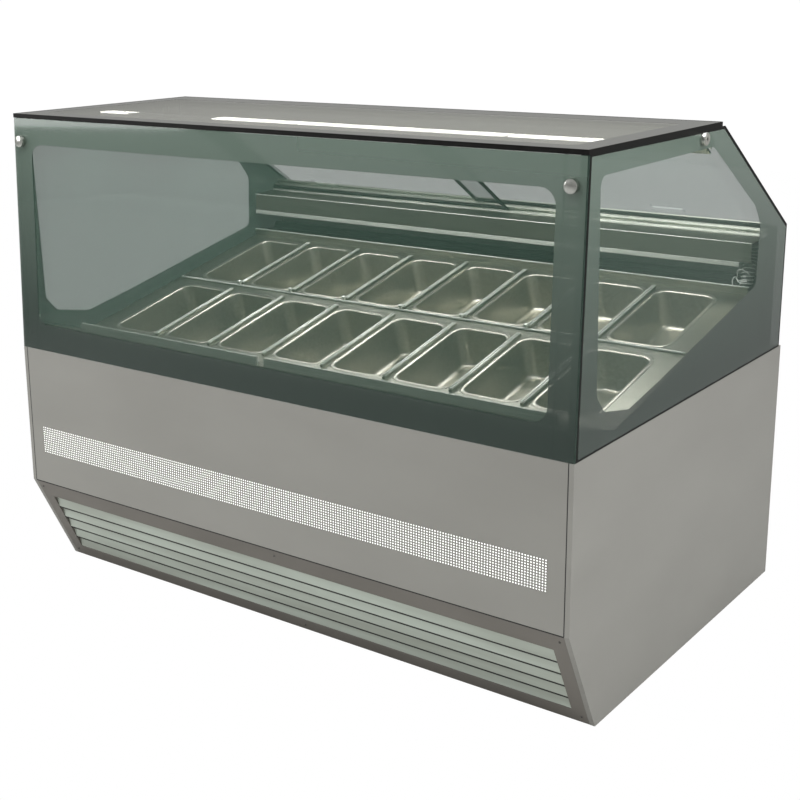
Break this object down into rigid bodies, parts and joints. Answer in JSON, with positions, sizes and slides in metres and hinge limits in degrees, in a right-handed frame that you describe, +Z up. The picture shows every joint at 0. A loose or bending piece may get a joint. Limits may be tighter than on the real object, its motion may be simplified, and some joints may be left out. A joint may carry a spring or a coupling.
{
  "type": "ice cream dipping cabinet",
  "caption": "Refrigerated ice cream dipping cabinet: lift-out steel pans in an inclined deck under a glass case with sliding rear doors, on a grey steel carcass.",
  "frame": {"origin": "on the floor under the middle of the cabinet", "axes": "+X to the customer's right along the cabinet, +Y from the customer's side to the service side, +Z up"},
  "size_m": [1.6946, 1.15, 1.282],
  "materials": {
    "body_steel": "satin metallic grey powder coat",
    "pan_steel": "bright rolled stainless steel",
    "satin_steel": "satin stainless steel",
    "polished_steel": "polished stainless steel",
    "anodised_aluminium": "satin anodised",
    "tinted_glass": "clear with a printed border",
    "smoked_glass": "grey tinted",
    "light_face": "translucent white",
    "lamp_cover": "translucent white, lit",
    "tub_liner": "satin white-grey",
    "black_plastic": "moulded",
    "white_plastic": "moulded",
    "black_paint": "black",
    "coil_fins": "bare fins",
    "copper_pipe": "bare copper"
  },
  "bodies": {
    "cabinet": {"base_tray": "black_paint", "left_side_panel": "body_steel", "right_side_panel": "body_steel", "front_panel": "body_steel", "light_module": "light_face", "kick_grille": "body_steel", "rear_panel": "body_steel", "cable_gland": "black_plastic", "control_panel": "black_plastic", "controller": "black_plastic", "condenser": "coil_fins", "fan_shroud": "black_paint", "compressor": "black_paint", "refrigerant_pipe": "copper_pipe", "evaporator": "coil_fins", "insulated_tub": "tub_liner", "pan_deck": "satin_steel", "outlet_shelf": "satin_steel", "air_hood": "satin_steel", "front_glass": "tinted_glass", "left_end_glass": "tinted_glass", "right_end_glass": "tinted_glass", "top_glass": "smoked_glass", "front_left_clamp": "polished_steel", "front_right_clamp": "polished_steel", "rear_left_clamp": "polished_steel", "rear_right_clamp": "polished_steel", "lower_track": "anodised_aluminium", "upper_track": "anodised_aluminium", "lamp_bar": "lamp_cover", "lamp_conduit": "white_plastic"},
    "front_pan_1": {"front_pan_1": "pan_steel"},
    "front_pan_2": {"front_pan_2": "pan_steel"},
    "front_pan_3": {"front_pan_3": "pan_steel"},
    "front_pan_4": {"front_pan_4": "pan_steel"},
    "front_pan_5": {"front_pan_5": "pan_steel"},
    "front_pan_6": {"front_pan_6": "pan_steel"},
    "front_pan_7": {"front_pan_7": "pan_steel"},
    "front_pan_8": {"front_pan_8": "pan_steel"},
    "rear_pan_1": {"rear_pan_1": "pan_steel"},
    "rear_pan_2": {"rear_pan_2": "pan_steel"},
    "rear_pan_3": {"rear_pan_3": "pan_steel"},
    "rear_pan_4": {"rear_pan_4": "pan_steel"},
    "rear_pan_5": {"rear_pan_5": "pan_steel"},
    "rear_pan_6": {"rear_pan_6": "pan_steel"},
    "rear_pan_7": {"rear_pan_7": "pan_steel"},
    "rear_pan_8": {"rear_pan_8": "pan_steel"},
    "left_rear_door": {"left_rear_door": "tinted_glass"},
    "right_rear_door": {"right_rear_door": "tinted_glass"},
    "condenser_fan": {"condenser_fan": "black_plastic"},
    "left_evaporator_fan": {"left_evaporator_fan": "black_plastic"},
    "right_evaporator_fan": {"right_evaporator_fan": "black_plastic"},
    "lamp_switch": {"lamp_switch": "black_plastic"},
    "power_switch": {"power_switch": "black_plastic"},
    "defrost_button": {"defrost_button": "white_plastic"},
    "drain_tray": {"drain_tray": "white_plastic"},
    "front_left_foot": {"front_left_foot": "black_plastic"},
    "rear_left_foot": {"rear_left_foot": "black_plastic"},
    "front_right_foot": {"front_right_foot": "black_plastic"},
    "rear_right_foot": {"rear_right_foot": "black_plastic"}
  },
  "joints": [
    {"name": "front_pan_1_lift", "type": "slide", "parent": "cabinet", "child": "front_pan_1", "axis": [0, -0.2147, 0.9767], "range_m": [0, 0.13]},
    {"name": "front_pan_2_lift", "type": "slide", "parent": "cabinet", "child": "front_pan_2", "axis": [0, -0.2147, 0.9767], "range_m": [0, 0.13]},
    {"name": "front_pan_3_lift", "type": "slide", "parent": "cabinet", "child": "front_pan_3", "axis": [0, -0.2147, 0.9767], "range_m": [0, 0.13]},
    {"name": "front_pan_4_lift", "type": "slide", "parent": "cabinet", "child": "front_pan_4", "axis": [0, -0.2147, 0.9767], "range_m": [0, 0.13]},
    {"name": "front_pan_5_lift", "type": "slide", "parent": "cabinet", "child": "front_pan_5", "axis": [0, -0.2147, 0.9767], "range_m": [0, 0.13]},
    {"name": "front_pan_6_lift", "type": "slide", "parent": "cabinet", "child": "front_pan_6", "axis": [0, -0.2147, 0.9767], "range_m": [0, 0.13]},
    {"name": "front_pan_7_lift", "type": "slide", "parent": "cabinet", "child": "front_pan_7", "axis": [0, -0.2147, 0.9767], "range_m": [0, 0.13]},
    {"name": "front_pan_8_lift", "type": "slide", "parent": "cabinet", "child": "front_pan_8", "axis": [0, -0.2147, 0.9767], "range_m": [0, 0.13]},
    {"name": "rear_pan_1_lift", "type": "slide", "parent": "cabinet", "child": "rear_pan_1", "axis": [0, -0.2147, 0.9767], "range_m": [0, 0.13]},
    {"name": "rear_pan_2_lift", "type": "slide", "parent": "cabinet", "child": "rear_pan_2", "axis": [0, -0.2147, 0.9767], "range_m": [0, 0.13]},
    {"name": "rear_pan_3_lift", "type": "slide", "parent": "cabinet", "child": "rear_pan_3", "axis": [0, -0.2147, 0.9767], "range_m": [0, 0.13]},
    {"name": "rear_pan_4_lift", "type": "slide", "parent": "cabinet", "child": "rear_pan_4", "axis": [0, -0.2147, 0.9767], "range_m": [0, 0.13]},
    {"name": "rear_pan_5_lift", "type": "slide", "parent": "cabinet", "child": "rear_pan_5", "axis": [0, -0.2147, 0.9767], "range_m": [0, 0.13]},
    {"name": "rear_pan_6_lift", "type": "slide", "parent": "cabinet", "child": "rear_pan_6", "axis": [0, -0.2147, 0.9767], "range_m": [0, 0.13]},
    {"name": "rear_pan_7_lift", "type": "slide", "parent": "cabinet", "child": "rear_pan_7", "axis": [0, -0.2147, 0.9767], "range_m": [0, 0.13]},
    {"name": "rear_pan_8_lift", "type": "slide", "parent": "cabinet", "child": "rear_pan_8", "axis": [0, -0.2147, 0.9767], "range_m": [0, 0.13]},
    {"name": "left_rear_door_slide", "type": "slide", "parent": "cabinet", "child": "left_rear_door", "axis": [1, 0, 0], "range_m": [0, 0.755]},
    {"name": "right_rear_door_slide", "type": "slide", "parent": "cabinet", "child": "right_rear_door", "axis": [1, 0, 0], "range_m": [-0.755, 0]},
    {"name": "condenser_fan_spin", "type": "hinge", "parent": "cabinet", "child": "condenser_fan", "pos_m": [0.25, -0.3107, 0.1703], "axis": [0, 1, 0], "continuous": true},
    {"name": "left_evaporator_fan_spin", "type": "hinge", "parent": "cabinet", "child": "left_evaporator_fan", "pos_m": [-0.33, 0.3993, 0.685], "axis": [0, 1, 0], "continuous": true},
    {"name": "right_evaporator_fan_spin", "type": "hinge", "parent": "cabinet", "child": "right_evaporator_fan", "pos_m": [0.33, 0.3993, 0.685], "axis": [0, 1, 0], "continuous": true},
    {"name": "lamp_switch_rock", "type": "hinge", "parent": "cabinet", "child": "lamp_switch", "pos_m": [0.475, 0.565, 0.395], "axis": [1, 0, 0], "range_deg": [0, 16]},
    {"name": "power_switch_rock", "type": "hinge", "parent": "cabinet", "child": "power_switch", "pos_m": [0.53, 0.565, 0.395], "axis": [1, 0, 0], "range_deg": [0, 16]},
    {"name": "defrost_button_press", "type": "slide", "parent": "cabinet", "child": "defrost_button", "axis": [0, -1, 0], "range_m": [0, 0.002], "stiffness_N_per_m": 600},
    {"name": "drain_tray_slide", "type": "slide", "parent": "cabinet", "child": "drain_tray", "axis": [0, 1, 0], "range_m": [0, 0.22]},
    {"name": "front_left_foot_turn", "type": "hinge", "parent": "cabinet", "child": "front_left_foot", "pos_m": [-0.725, -0.315, 0], "axis": [0, 0, 1], "continuous": true},
    {"name": "rear_left_foot_turn", "type": "hinge", "parent": "cabinet", "child": "rear_left_foot", "pos_m": [-0.725, 0.465, 0], "axis": [0, 0, 1], "continuous": true},
    {"name": "front_right_foot_turn", "type": "hinge", "parent": "cabinet", "child": "front_right_foot", "pos_m": [0.725, -0.315, 0], "axis": [0, 0, 1], "continuous": true},
    {"name": "rear_right_foot_turn", "type": "hinge", "parent": "cabinet", "child": "rear_right_foot", "pos_m": [0.725, 0.465, 0], "axis": [0, 0, 1], "continuous": true}
  ]
}
